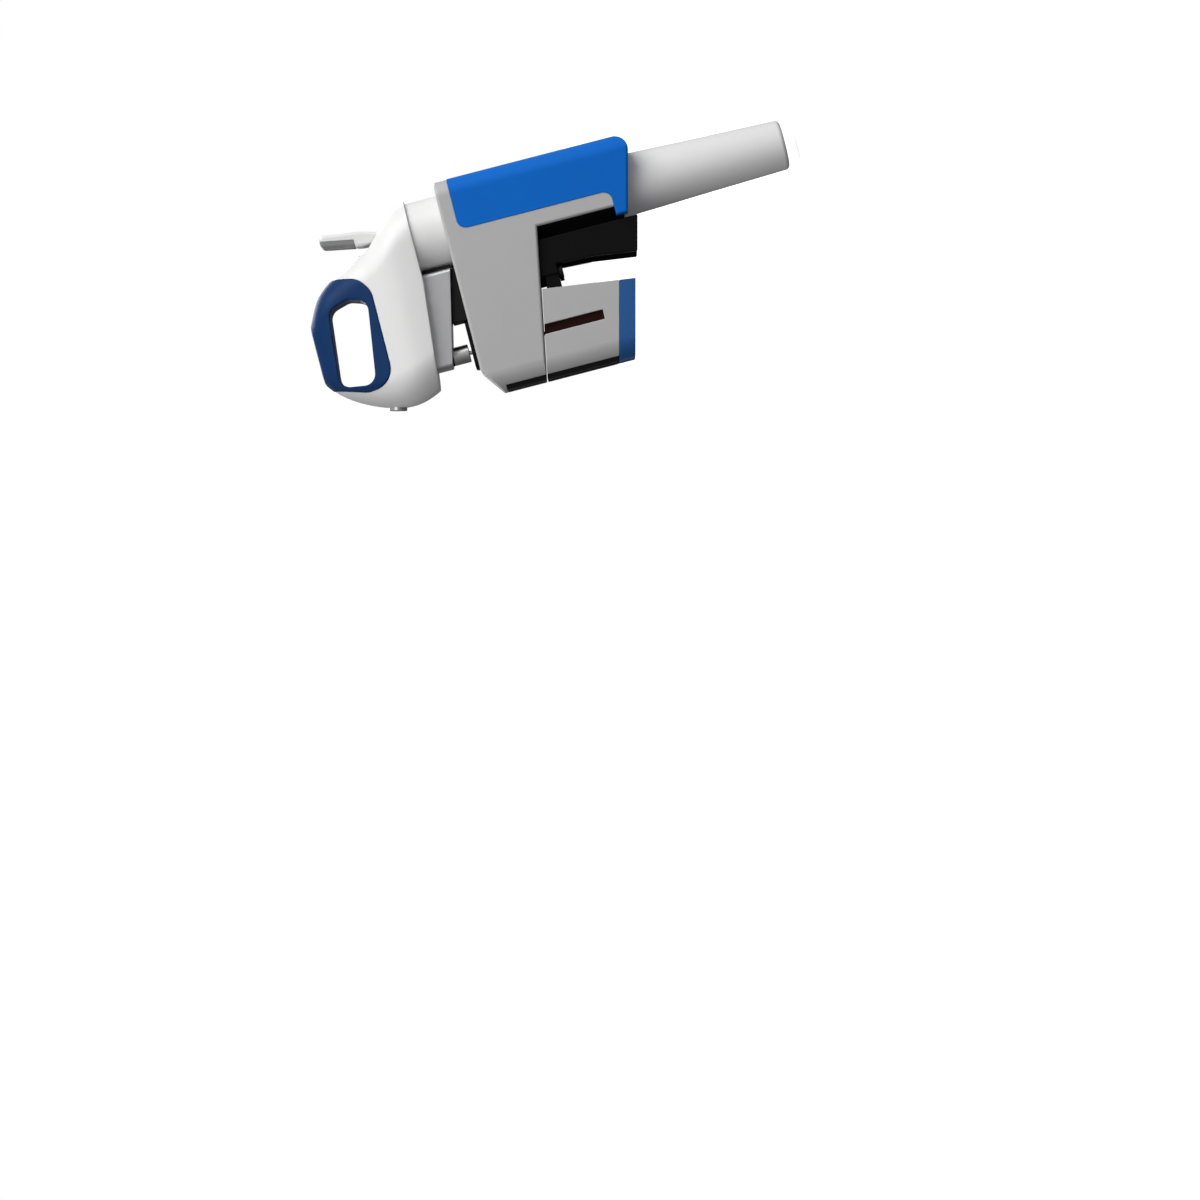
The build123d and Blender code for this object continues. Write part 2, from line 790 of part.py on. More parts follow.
# Head shells
with BuildPart() as head_hollow:
    add(head_body(head_wall))
    add(chin(head_wall), mode=Mode.SUBTRACT)
with BuildPart() as head_hull:
    add(head_body(0))
    add(head_hollow.part, mode=Mode.SUBTRACT)
    for x, z in head_screw_spots:
        cross_pin(x, z, -inner_half, inner_half, head_boss)
    cross_pin(trigger_x, trigger_z, -inner_half, -trigger_half - gap, trigger_boss)
    cross_pin(trigger_x, trigger_z, trigger_half + gap, inner_half, trigger_boss)
    for span in rest_spans:
        block(span, (-inner_half, -housing_half), (head_low, rest_high))
        block(span, (housing_half, inner_half), (head_low, rest_high))
    add(head_body(0), mode=Mode.INTERSECT)
    add(chin(0), mode=Mode.SUBTRACT)
    add(plate(loop_outline, -far, far, corner=loop_corner), mode=Mode.SUBTRACT)
    block((housing_front, housing_back), (-housing_half, housing_half), (0, rest_high), Mode.SUBTRACT)
    post(capsule_axis, 0, 0, head_floor, groove_radius, Mode.SUBTRACT)
    add(tube_lip(gap), mode=Mode.SUBTRACT)
    slot_half = trigger_half + slot_clearance
    block((slot_edge, far), (-slot_half, slot_half), (slot_low, slot_high), Mode.SUBTRACT)
    cross_pin(trigger_x, trigger_z, -trigger_pin_half, trigger_pin_half, trigger_pin_radius, Mode.SUBTRACT)
    with BuildSketch(spout_plane.offset(-spout_depth)):
        Circle(spout_radius)
    extrude(amount=far, mode=Mode.SUBTRACT)
    for x, z in head_screw_spots:
        cross_pin(x, z, -head_screw_end, far, screw_radius, Mode.SUBTRACT)
        cross_pin(x, z, head_screw_seat, far, screw_head, Mode.SUBTRACT)
head_shell_left = half(head_hull, Keep.TOP)
head_shell_right = half(head_hull, Keep.BOTTOM)
with BuildPart() as head_screws:
    for x, z in head_screw_spots:
        cross_pin(x, z, -head_screw_end, head_screw_seat, screw_radius)
        cross_pin(x, z, head_screw_seat, head_screw_seat + screw_head_height, screw_head)

# Valve housing: a block under the head with a barrel for the spool on top
housing_outline = [
    (housing_front, underside(housing_front)),
    (housing_back, underside(housing_back)),
    (housing_back, housing_top),
    (housing_front, housing_top),
]
with BuildPart() as valve_housing:
    add(plate(housing_outline, -housing_half, housing_half))
    fillet(valve_housing.edges().filter_by(Axis.Z), housing_corner)
    block((barrel_front, housing_back), (-barrel_web, barrel_web), (housing_top, barrel_height))
    shaft(barrel_height, barrel_front, housing_back, barrel_radius)
    shaft(barrel_height, bore_end, housing_back, spool_radius, Mode.SUBTRACT)
    post(0, 0, 0, hub_seat, hub_radius + gap, Mode.SUBTRACT)
    post(0, 0, 0, hub_seat + stud_length, stud_radius, Mode.SUBTRACT)
    post(port_x, 0, hub_seat, housing_top, port_radius, Mode.SUBTRACT)
    post(rod_x, 0, 0, rod_top, rod_radius, Mode.SUBTRACT)

# Needle and its hub
needle_high = hub_seat + stud_length
with BuildPart() as needle:
    post(0, 0, needle_tip + needle_point, needle_high, needle_radius)
    with Locations((0, 0, needle_tip)):
        Cone(needle_bore, needle_radius, needle_point, align=upright)
    post(0, 0, needle_tip + needle_point, needle_high, needle_bore, Mode.SUBTRACT)
with BuildPart() as needle_hub:
    post(0, 0, hub_low, hub_seat - hub_seal, hub_radius)
    post(0, 0, hub_seat - hub_seal, needle_high, stud_radius)
    post(0, 0, 0, far, needle_radius, Mode.SUBTRACT)
needle_seal = ring(0, hub_seat - hub_seal, hub_seat, hub_radius, stud_radius)

# Guide rod with the collar that stops the head at the top of its travel
guide_rod = ring(rod_x, stop_top - stop_length, rod_top, rod_radius, rod_radius / 2)
rod_stop = ring(rod_x, stop_top - stop_length, stop_top, rod_bush_radius, rod_radius)

# Regulator tube, held in the head's floor by a groove
with BuildPart() as regulator_tube:
    post(capsule_axis, 0, tube_low, head_low, tube_radius)
    post(capsule_axis, 0, head_low, head_floor, groove_radius)
    add(tube_lip(0))
    post(capsule_axis, 0, tube_low, regulator_top, tube_radius - tube_wall, Mode.SUBTRACT)
    post(capsule_axis, 0, regulator_top, far, lip_bore, Mode.SUBTRACT)

with BuildPart() as regulator_body:
    post(capsule_axis, 0, tube_low, regulator_top, tube_radius - tube_wall)
    post(capsule_axis, 0, nose_low, tube_low, nose_radius)
    post(capsule_axis, 0, chamber_low, far, chamber_radius, Mode.SUBTRACT)
    post(capsule_axis, 0, -far, far, pin_radius, Mode.SUBTRACT)
    post(gas_tube_x, 0, gas_tube_low, far, gas_tube_radius, Mode.SUBTRACT)
with BuildPart() as regulator_piston:
    post(capsule_axis, 0, piston_low, piston_low + piston_height, chamber_radius - running)
    post(capsule_axis, 0, chamber_low + running, piston_low, nub_radius)
    post(capsule_axis, 0, piston_low + piston_height, piston_low + piston_height + stem_height, piston_stem)
adjuster_low = regulator_top - adjuster_height
with BuildPart() as regulator_adjuster:
    post(capsule_axis, 0, adjuster_low, regulator_top, chamber_radius)
    with BuildSketch(Plane.XY.offset(adjuster_low)):
        with Locations((capsule_axis, 0)):
            RegularPolygon(adjuster_key, side_count=6)
    extrude(amount=adjuster_height, mode=Mode.SUBTRACT)
piston_high = piston_low + piston_height
with BuildPart() as regulator_spring:
    spring_length = adjuster_low - piston_high - 2 * (regulator_wire + running)
    wound = coil(regulator_coil, regulator_wire, spring_length, regulator_turns)
    add(wound.moved(Location((capsule_axis, 0, piston_high + regulator_wire + running))))
with BuildPart() as piercing_pin:
    post(capsule_axis, 0, pin_low + pin_point, pin_high, pin_radius)
    with Locations((capsule_axis, 0, pin_low)):
        Cone(pin_bore, pin_radius, pin_point, align=upright)
    post(capsule_axis, 0, pin_low + pin_point, pin_high, pin_bore, Mode.SUBTRACT)
capsule_gasket = ring(capsule_axis, gasket_low, nose_low, gasket_radius, pin_radius)

# Gas capsule: a thin steel flask, pierced at the neck
neck_low = gasket_low - capsule_neck_length
shoulder_low = neck_low - capsule_shoulder
with BuildPart() as gas_capsule:
    with BuildSketch(Plane.XZ):
        with BuildLine():
            Polyline(
                (capsule_axis + pin_radius + gap, gasket_low),
                (capsule_axis + capsule_neck, gasket_low),
                (capsule_axis + capsule_neck, neck_low),
            )
            Spline(
                (capsule_axis + capsule_neck, neck_low),
                (capsule_axis + capsule_radius, shoulder_low),
                tangents=[(0, -1), (0, -1)],
            )
            Polyline(
                (capsule_axis + capsule_radius, shoulder_low),
                (capsule_axis + capsule_radius, buffer_top + capsule_dome),
                (capsule_axis + capsule_radius - capsule_dome, buffer_top),
                (capsule_axis, buffer_top),
                (capsule_axis, buffer_top + capsule_wall),
                (capsule_axis + capsule_radius - capsule_dome, buffer_top + capsule_wall),
                (capsule_axis + capsule_radius - capsule_wall, buffer_top + capsule_dome + capsule_wall),
                (capsule_axis + capsule_radius - capsule_wall, shoulder_low),
            )
            Spline(
                (capsule_axis + capsule_radius - capsule_wall, shoulder_low),
                (capsule_axis + pin_radius + gap, neck_low),
                tangents=[(0, 1), (0, 1)],
            )
            Line((capsule_axis + pin_radius + gap, neck_low), (capsule_axis + pin_radius + gap, gasket_low))
        make_face()
    revolve(axis=Axis((capsule_axis, 0, 0), (0, 0, 1)))

# Capsule cup: a tapered tube under a guide collar, with a thread ring and a buffer on its floor
cup_face = [
    (capsule_axis, cup_end),
    (capsule_axis + cup_end_radius, cup_end),
    (capsule_axis + cup_taper_radius, cup_taper),
    (capsule_axis + tube_radius, cup_collar),
    (capsule_axis + tube_radius, cup_top),
    (capsule_axis, cup_top),
]
with BuildPart() as capsule_cup:
    with BuildSketch(Plane.XZ):
        with BuildLine():
            Polyline(*cup_face, close=True)
        make_face()
    revolve(axis=Axis((capsule_axis, 0, 0), (0, 0, 1)))
    fillet(capsule_cup.edges().group_by(Axis.Z)[0], cup_edge)
    post(capsule_axis, 0, cup_end + cup_floor, far, cup_bore, Mode.SUBTRACT)
    post(capsule_axis, 0, cup_top - thread_depth, far, thread_radius, Mode.SUBTRACT)
thread_bore = nose_radius + thread_clearance
cup_thread_ring = ring(capsule_axis, cup_top - thread_depth, cup_top, thread_radius, thread_bore)
with BuildPart() as cup_buffer:
    post(capsule_axis, 0, cup_end + cup_floor, buffer_top, cup_bore)

# Trigger with a finger pad on its front, and the pin it swings on
front_low = trigger_outline[1]
front_high = trigger_outline[2]
front_lean = (front_high[0] - front_low[0]) / (front_high[1] - front_low[1])
pad_rear = front_low[0] + pad_thickness - front_lean * front_low[1]
pad_outline = [
    (-far, pad_foot),
    (pad_rear + front_lean * pad_foot, pad_foot),
    (pad_rear + front_lean * far, far),
    (-far, far),
]
with BuildPart() as trigger_body:
    add(plate(trigger_outline, -trigger_half, trigger_half, corner=trigger_round))
    fillet(trigger_body.faces().filter_by(Axis.Y).edges(), trigger_edge)
    cross_pin(trigger_x, trigger_z, -trigger_half, trigger_half, trigger_boss)
    cross_pin(trigger_x, trigger_z, -far, far, trigger_pin_radius + running, Mode.SUBTRACT)
with BuildPart() as trigger_pad:
    add(trigger_body.part)
    add(plate(pad_outline, -far, far), mode=Mode.INTERSECT)
with BuildPart() as trigger:
    add(trigger_body.part)
    add(trigger_pad.part, mode=Mode.SUBTRACT)
with BuildPart() as trigger_pin:
    cross_pin(trigger_x, trigger_z, -trigger_pin_half, trigger_pin_half, trigger_pin_radius)

# Valve spool, its seals and its return spring
trigger_face = trigger_outline[0][0] - (trigger_outline[0][0] - trigger_outline[1][0]) * (
    barrel_height - trigger_outline[0][1]
) / (trigger_outline[1][1] - trigger_outline[0][1])
with BuildPart() as valve_spool:
    shaft(barrel_height, spool_front, spool_back, spool_radius - running)
    shaft(barrel_height, spool_back, trigger_face - 2 * gap, stem_radius)
    for x in spool_grooves:
        shaft(barrel_height, x, x + groove_width, spool_radius, Mode.SUBTRACT)
        shaft(barrel_height, x, x + groove_width, spool_radius - groove_depth)
with BuildPart() as spool_seals:
    for x in spool_grooves:
        shaft(barrel_height, x, x + groove_width, spool_radius - running)
        shaft(barrel_height, x, x + groove_width, spool_radius - groove_depth, Mode.SUBTRACT)
with BuildPart() as spool_spring:
    spring_length = spool_front - bore_end - 2 * (spool_wire + running)
    wound = coil(spool_coil, spool_wire, spring_length, spool_turns)
    lying = Location((bore_end + spool_wire + running, 0, barrel_height), (0, 90, 0))
    add(wound.moved(lying))

pieces = {
    "frame_shell_left": frame_shell_left,
    "frame_shell_right": frame_shell_right,
    "nose_strip": nose_strip,
    "grip_saddle": grip_saddle,
    "chassis": chassis,
    "sleeve_bush_upper": sleeve_bush_upper,
    "sleeve_bush_lower": sleeve_bush_lower,
    "rod_bush": rod_bush,
    "frame_screws": frame_screws,
    "neck_socket": neck_socket,
    "mouth_seal": mouth_seal,
    "needle_guide": needle_guide,
    "head_buffer": head_buffer,
    "clamp_pins": clamp_pins,
    "clamp_spring_left": clamp_spring_left,
    "clamp_spring_right": clamp_spring_right,
    "clamp_lever_left": clamp_lever_left,
    "clamp_lever_right": clamp_lever_right,
    "clamp_jaw_left": clamp_jaw_left,
    "clamp_jaw_right": clamp_jaw_right,
    "jaw_liner_left": jaw_liner_left,
    "jaw_liner_right": jaw_liner_right,
    "jaw_lip_left": jaw_lip_left,
    "jaw_lip_right": jaw_lip_right,
    "neck_pad_left": neck_pad_left,
    "neck_pad_right": neck_pad_right,
    "head_shell_left": head_shell_left,
    "head_shell_right": head_shell_right,
    "finger_loop": finger_loop,
    "spout": spout,
    "wine_tube": wine_tube,
    "gas_tube": gas_tube,
    "head_screws": head_screws,
    "valve_housing": valve_housing,
    "needle": needle,
    "needle_hub": needle_hub,
    "needle_seal": needle_seal,
    "guide_rod": guide_rod,
    "rod_stop": rod_stop,
    "regulator_tube": regulator_tube,
    "regulator_body": regulator_body,
    "regulator_piston": regulator_piston,
    "regulator_adjuster": regulator_adjuster,
    "regulator_spring": regulator_spring,
    "piercing_pin": piercing_pin,
    "capsule_gasket": capsule_gasket,
    "gas_capsule": gas_capsule,
    "capsule_cup": capsule_cup,
    "cup_thread_ring": cup_thread_ring,
    "cup_buffer": cup_buffer,
    "trigger": trigger,
    "trigger_pad": trigger_pad,
    "trigger_pin": trigger_pin,
    "valve_spool": valve_spool,
    "spool_seals": spool_seals,
    "spool_spring": spool_spring,
}
os.makedirs("parts", exist_ok=True)
for name, piece in pieces.items():
    piece.part.label = name
    export_step(piece.part, f"parts/{name}.step")
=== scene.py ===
import bmesh
import bpy
import json
import math
from mathutils import Matrix, Vector


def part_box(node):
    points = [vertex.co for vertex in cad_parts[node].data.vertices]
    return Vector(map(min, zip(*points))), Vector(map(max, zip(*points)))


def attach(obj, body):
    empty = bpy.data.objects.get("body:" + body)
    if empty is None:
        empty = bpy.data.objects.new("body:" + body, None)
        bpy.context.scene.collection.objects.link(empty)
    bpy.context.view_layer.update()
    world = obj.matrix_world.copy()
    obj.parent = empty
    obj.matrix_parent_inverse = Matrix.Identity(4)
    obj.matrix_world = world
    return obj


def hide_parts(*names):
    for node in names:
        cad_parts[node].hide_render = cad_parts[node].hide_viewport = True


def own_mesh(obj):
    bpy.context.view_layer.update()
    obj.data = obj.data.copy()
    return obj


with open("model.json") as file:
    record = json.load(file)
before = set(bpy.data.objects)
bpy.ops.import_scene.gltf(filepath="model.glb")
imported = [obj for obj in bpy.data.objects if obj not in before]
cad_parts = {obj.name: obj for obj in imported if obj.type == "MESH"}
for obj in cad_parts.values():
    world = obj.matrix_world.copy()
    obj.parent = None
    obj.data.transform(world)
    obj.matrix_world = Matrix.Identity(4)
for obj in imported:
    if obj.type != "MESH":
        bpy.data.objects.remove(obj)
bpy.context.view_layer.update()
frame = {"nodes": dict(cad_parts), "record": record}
scene = bpy.context.scene
print("frame loaded:", len(frame["nodes"]), "nodes")

# Studio: the camera is rolled, because the tool is tipped over to pour
cameraSet = {
    "place": (-0.11849, -2.0, -0.01748),
    "right": (-0.25038, 0.0, -0.96815),
    "up": (0.96815, 0.0, -0.25038),
    "angle": 14.906,
    "sensor": 36.0,  # millimetres
    "near": 0.01,
    "reach": 20.0,
}
lightSet = [
    # name, place, aimed at, width, height, watts
    ("topSoftbox", (0.85, -0.55, 0.45), (0.0, 0.0, -0.02), 0.8, 0.8, 8.6),
    ("frontFill", (0.2, -1.3, 0.6), (0.0, 0.0, 0.0), 0.8, 0.8, 2.4),
    ("backStrip", (0.3, 1.1, 0.6), (0.02, 0.0, 0.0), 0.9, 0.9, 9.0),
    ("spoutFill", (-0.7, -0.3, 0.75), (0.0, 0.0, 0.05), 0.7, 0.7, 1.6),
]
skySet = {
    "seen": (1.0, 1.0, 1.0), "high": (0.95, 0.96, 0.98), "low": (0.2, 0.2, 0.205), "strength": 0.5,
    "brightSide": (0.72, -0.25, 0.65), "fade": (0.15, 0.85),
}
floorSet = {
    "height": -0.1502, "radius": 6.0, "sides": 64,
    "colour": (0.93, 0.93, 0.93), "rough": 0.9, "specular": 0.1,
    "glow": 0.5, "farGlow": 1.05, "fade": (0.25, 0.9),
}


def buildCamera():
    data = bpy.data.cameras.new("photoCamera")
    data.sensor_width = cameraSet["sensor"]
    data.lens = cameraSet["sensor"] / 2 / math.tan(math.radians(cameraSet["angle"]) / 2)
    data.clip_start = cameraSet["near"]
    data.clip_end = cameraSet["reach"]
    camera = bpy.data.objects.new("photoCamera", data)
    right, up = Vector(cameraSet["right"]), Vector(cameraSet["up"])
    turn = Matrix((right, up, right.cross(up))).transposed().to_4x4()
    camera.matrix_world = Matrix.Translation(cameraSet["place"]) @ turn
    scene.collection.objects.link(camera)
    scene.camera = camera


def buildLights():
    for name, place, aim, width, height, watts in lightSet:
        data = bpy.data.lights.new(name, "AREA")
        data.shape = "RECTANGLE"
        data.size = width
        data.size_y = height
        data.energy = watts
        lamp = bpy.data.objects.new(name, data)
        way = Vector(aim) - Vector(place)
        lamp.matrix_world = Matrix.Translation(place) @ way.to_track_quat("-Z", "Y").to_matrix().to_4x4()
        scene.collection.objects.link(lamp)


def buildSky():
    world = bpy.data.worlds.new("paleStudio")
    scene.world = world
    world.use_nodes = True
    nodes, links = world.node_tree.nodes, world.node_tree.links
    nodes.clear()
    output = nodes.new("ShaderNodeOutputWorld")
    mix = nodes.new("ShaderNodeMixShader")
    path = nodes.new("ShaderNodeLightPath")
    seen = nodes.new("ShaderNodeBackground")
    seen.inputs["Color"].default_value = (*skySet["seen"], 1)
    dome = nodes.new("ShaderNodeBackground")
    dome.inputs["Strength"].default_value = skySet["strength"]
    coords = nodes.new("ShaderNodeTexCoord")
    facing = nodes.new("ShaderNodeVectorMath")
    facing.operation = "DOT_PRODUCT"
    facing.inputs[1].default_value = skySet["brightSide"]
    ramp = nodes.new("ShaderNodeValToRGB")
    shades = (skySet["low"], skySet["high"])
    for stop, place, shade in zip(ramp.color_ramp.elements, skySet["fade"], shades):
        stop.position = place
        stop.color = (*shade, 1)
    spread = nodes.new("ShaderNodeMapRange")
    spread.inputs["From Min"].default_value = -1.0  # away from the bright side
    spread.inputs["From Max"].default_value = 1.0
    links.new(coords.outputs["Generated"], facing.inputs[0])
    links.new(facing.outputs["Value"], spread.inputs["Value"])
    links.new(spread.outputs["Result"], ramp.inputs["Fac"])
    links.new(ramp.outputs["Color"], dome.inputs["Color"])
    links.new(path.outputs["Is Camera Ray"], mix.inputs["Fac"])
    links.new(dome.outputs["Background"], mix.inputs[1])
    links.new(seen.outputs["Background"], mix.inputs[2])
    links.new(mix.outputs["Shader"], output.inputs["Surface"])


def buildFloor():
    mesh = bpy.data.meshes.new("paleFloor")
    count, radius = floorSet["sides"], floorSet["radius"]
    turns = [2 * math.pi * i / count for i in range(count)]
    rim = [(radius * math.cos(turn), radius * math.sin(turn), floorSet["height"]) for turn in turns]
    mesh.from_pydata(rim, [], [list(range(count))])
    floor = bpy.data.objects.new("paleFloor", mesh)
    scene.collection.objects.link(floor)
    mat = bpy.data.materials.new("paleFloor")
    mat.use_nodes = True
    nodes, links = mat.node_tree.nodes, mat.node_tree.links
    shader = nodes["Principled BSDF"]
    shader.inputs["Base Color"].default_value = (*floorSet["colour"], 1)
    shader.inputs["Roughness"].default_value = floorSet["rough"]
    shader.inputs["Specular IOR Level"].default_value = floorSet["specular"]
    shader.inputs["Emission Color"].default_value = (1, 1, 1, 1)
    coords = nodes.new("ShaderNodeTexCoord")
    away = nodes.new("ShaderNodeVectorMath")
    away.operation = "LENGTH"
    glow = nodes.new("ShaderNodeMapRange")  # the floor fades into the white around it
    glow.inputs["From Min"].default_value, glow.inputs["From Max"].default_value = floorSet["fade"]
    glow.inputs["To Min"].default_value = floorSet["glow"]
    glow.inputs["To Max"].default_value = floorSet["farGlow"]
    links.new(coords.outputs["Object"], away.inputs[0])
    links.new(away.outputs["Value"], glow.inputs["Value"])
    links.new(glow.outputs["Result"], shader.inputs["Emission Strength"])
    mesh.materials.append(mat)
    floor.visible_diffuse = False  # the floor shows the shadow, and lights nothing
    floor.visible_glossy = False


scene.view_settings.view_transform = "Standard"
buildCamera()
buildLights()
buildSky()
buildFloor()
print("studio ready")


def addNode(tree, kind, **values):
    node = tree.nodes.new(kind)
    for key, value in values.items():
        if hasattr(node, key):
            setattr(node, key, value)
        else:
            node.inputs[key.replace("_", " ")].default_value = value
    return node


# Noise for the slow colour drift, the sheen and the fine grain: detail and roughness of each
grainSet = {"cloud": (3.0, 0.55), "sheen": (2.0, 0.6), "fine": (2.0, 0.5),
            "sheenShare": 0.12, "sheenSpan": (0.3, 0.7)}


def grainHeight(tree, coords, kind, scale):
    detail, rough = grainSet[kind]
    noise = addNode(tree, "ShaderNodeTexNoise", Scale=scale, Detail=detail, Roughness=rough)
    tree.links.new(coords.outputs["Object"], noise.inputs["Vector"])
    return noise


def mouldedFinish(name, look):
    mat = bpy.data.materials.new(name)
    mat.use_nodes = True
    tree = mat.node_tree
    shader = tree.nodes["Principled BSDF"]
    for socket, value in look.get("sockets", {}).items():
        shader.inputs[socket].default_value = value
    coords = addNode(tree, "ShaderNodeTexCoord")
    cloud = grainHeight(tree, coords, "cloud", look["cloud"])
    tint = addNode(tree, "ShaderNodeMix", data_type="RGBA")
    tint.inputs["A"].default_value = (*[c * (1 - look["drift"]) for c in look["colour"]], 1)
    tint.inputs["B"].default_value = (*[min(1, c * (1 + look["drift"])) for c in look["colour"]], 1)
    tree.links.new(cloud.outputs["Fac"], tint.inputs["Factor"])
    tree.links.new(tint.outputs["Result"], shader.inputs["Base Color"])
    sheen = grainHeight(tree, coords, "sheen", look["grain"] * grainSet["sheenShare"])
    low, high = grainSet["sheenSpan"]
    gloss = addNode(tree, "ShaderNodeMapRange", From_Min=low, From_Max=high,
                    To_Min=look["rough"] - look["roughSpread"], To_Max=look["rough"] + look["roughSpread"])
    tree.links.new(sheen.outputs["Fac"], gloss.inputs["Value"])
    tree.links.new(gloss.outputs["Result"], shader.inputs["Roughness"])
    fine = grainHeight(tree, coords, "fine", look["grain"])
    bump = addNode(tree, "ShaderNodeBump", Strength=look["bump"], Distance=look["depth"])
    tree.links.new(fine.outputs["Fac"], bump.inputs["Height"])
    tree.links.new(bump.outputs["Normal"], shader.inputs["Normal"])
    return mat


def metalFinish(name, look):
    mat = mouldedFinish(name, look)
    shader = mat.node_tree.nodes["Principled BSDF"]
    shader.inputs["Metallic"].default_value = 1.0
    return mat


finishLooks = {
    "shell_white": {"colour": (0.83, 0.825, 0.815), "drift": 0.012, "cloud": 45.0,
                    "rough": 0.36, "roughSpread": 0.05, "grain": 2200.0, "bump": 0.25, "depth": 0.00003},
    "frame_grey": {"colour": (0.49, 0.485, 0.482), "drift": 0.03, "cloud": 60.0,
                   "rough": 0.42, "roughSpread": 0.06, "grain": 1800.0, "bump": 0.35, "depth": 0.00004},
    "grip_blue": {"colour": (0.004, 0.145, 0.6), "drift": 0.06, "cloud": 50.0,
                  "rough": 0.46, "roughSpread": 0.06, "grain": 1500.0, "bump": 0.4, "depth": 0.00004,
                  "sockets": {"Specular IOR Level": 0.08}},
    # loop_blue is the grip blue darkened: painted shade of the finger loop's inner walls
    "loop_blue": {"colour": (0.004, 0.034, 0.125), "drift": 0.08, "cloud": 70.0,
                  "rough": 0.45, "roughSpread": 0.06, "grain": 1500.0, "bump": 0.4, "depth": 0.00004,
                  "sockets": {"Specular IOR Level": 0.12}},
    "liner_blue": {"colour": (0.018, 0.1, 0.31), "drift": 0.08, "cloud": 70.0,
                   "rough": 0.45, "roughSpread": 0.06, "grain": 1500.0, "bump": 0.4, "depth": 0.00004,
                   "sockets": {"Specular IOR Level": 0.25}},
    "body_black": {"colour": (0.004, 0.0038, 0.0036), "drift": 0.15, "cloud": 80.0,
                   "rough": 0.48, "roughSpread": 0.07, "grain": 1400.0, "bump": 0.5, "depth": 0.00005,
                   "sockets": {"Specular IOR Level": 0.09}},
    "buffer_black": {"colour": (0.01, 0.0097, 0.0097), "drift": 0.2, "cloud": 90.0,
                     "rough": 0.72, "roughSpread": 0.08, "grain": 1100.0, "bump": 0.5, "depth": 0.00006,
                     "sockets": {"Specular IOR Level": 0.15}},
    # pad_dark is a dark red-brown: painted shade of the dark slot inside the jaws
    "pad_dark": {"colour": (0.02, 0.004, 0.003), "drift": 0.2, "cloud": 90.0,
                 "rough": 0.55, "roughSpread": 0.08, "grain": 1100.0, "bump": 0.5, "depth": 0.00005,
                 "sockets": {"Specular IOR Level": 0.08}},
    "bush_pale": {"colour": (0.66, 0.65, 0.6), "drift": 0.03, "cloud": 70.0,
                  "rough": 0.4, "roughSpread": 0.06, "grain": 1600.0, "bump": 0.25, "depth": 0.00003},
    # trigger_grey is the trigger pad's dark grey: partly the trigger's own colour and partly painted shade
    # of its underside
    "trigger_grey": {"colour": (0.22, 0.22, 0.222), "drift": 0.08, "cloud": 80.0,
                     "rough": 0.6, "roughSpread": 0.07, "grain": 1200.0, "bump": 0.5, "depth": 0.00005},
    "tube_clear": {"colour": (0.72, 0.73, 0.71), "drift": 0.03, "cloud": 70.0,
                   "rough": 0.35, "roughSpread": 0.05, "grain": 1500.0, "bump": 0.2, "depth": 0.00003},
}
metalLooks = {
    "valve_silver": {"colour": (0.56, 0.56, 0.57), "drift": 0.05, "cloud": 120.0,
                     "rough": 0.42, "roughSpread": 0.08, "grain": 2600.0, "bump": 0.35, "depth": 0.00003},
    "steel": {"colour": (0.6, 0.595, 0.585), "drift": 0.04, "cloud": 500.0,
              "rough": 0.3, "roughSpread": 0.03, "grain": 1600.0, "bump": 0.04, "depth": 0.00001},
    "pin_black": {"colour": (0.05, 0.05, 0.055), "drift": 0.08, "cloud": 400.0,
                  "rough": 0.4, "roughSpread": 0.06, "grain": 4200.0, "bump": 0.15, "depth": 0.00001},
    "spring_steel": {"colour": (0.4, 0.4, 0.41), "drift": 0.08, "cloud": 300.0,
                     "rough": 0.32, "roughSpread": 0.08, "grain": 2600.0, "bump": 0.2, "depth": 0.00002},
    "brass": {"colour": (0.7, 0.51, 0.24), "drift": 0.08, "cloud": 150.0,
              "rough": 0.3, "roughSpread": 0.08, "grain": 2400.0, "bump": 0.25, "depth": 0.00002},
    "aluminium": {"colour": (0.66, 0.66, 0.67), "drift": 0.05, "cloud": 150.0,
                  "rough": 0.34, "roughSpread": 0.08, "grain": 2400.0, "bump": 0.25, "depth": 0.00002},
}
finishes = {name: mouldedFinish(name, look) for name, look in finishLooks.items()}
finishes.update({name: metalFinish(name, look) for name, look in metalLooks.items()})
for part in frame["record"]["subparts"]:
    mesh = frame["nodes"][part["node"]].data
    mesh.materials.clear()
    mesh.materials.append(finishes[part["material_slot"]])
print("finishes on", len(frame["nodes"]), "nodes")


# Moulded and turned pieces: edge radius in metres and steps round it
softEdges = {
    "head_shell_left": (0.0003, 2), "head_shell_right": (0.0003, 2),
    "trigger": (0.0004, 2), "trigger_pad": (0.0004, 2),
    "valve_housing": (0.0004, 2), "needle_guide": (0.0004, 2), "head_buffer": (0.0005, 2),
    "frame_shell_left": (0.0003, 2), "frame_shell_right": (0.0003, 2),
    "nose_strip": (0.0003, 2), "grip_saddle": (0.00025, 2),
    "clamp_lever_left": (0.0006, 3), "clamp_lever_right": (0.0006, 3),
    "clamp_jaw_left": (0.0004, 2), "clamp_jaw_right": (0.0004, 2),
    "jaw_liner_left": (0.0003, 2), "jaw_liner_right": (0.0003, 2),
    "jaw_lip_left": (0.0003, 2), "jaw_lip_right": (0.0003, 2),
    "neck_pad_left": (0.0003, 2), "neck_pad_right": (0.0003, 2),
    "capsule_cup": (0.0004, 2), "regulator_tube": (0.0003, 2),
    "needle_hub": (0.0003, 2), "spout": (0.0003, 2), "neck_socket": (0.0003, 2), "chassis": (0.0003, 2),
}
meshSet = {"merge": 2e-6, "flat": 0.1, "corner": 30.0, "smooth": 38.0}  # metres, then degrees between faces
bodies = frame["record"]["behaviour"]["bodies"]
bodyOf = {node: body for body, members in bodies.items() for node in members}
slotOf = {part["node"]: part["material_slot"] for part in frame["record"]["subparts"]}


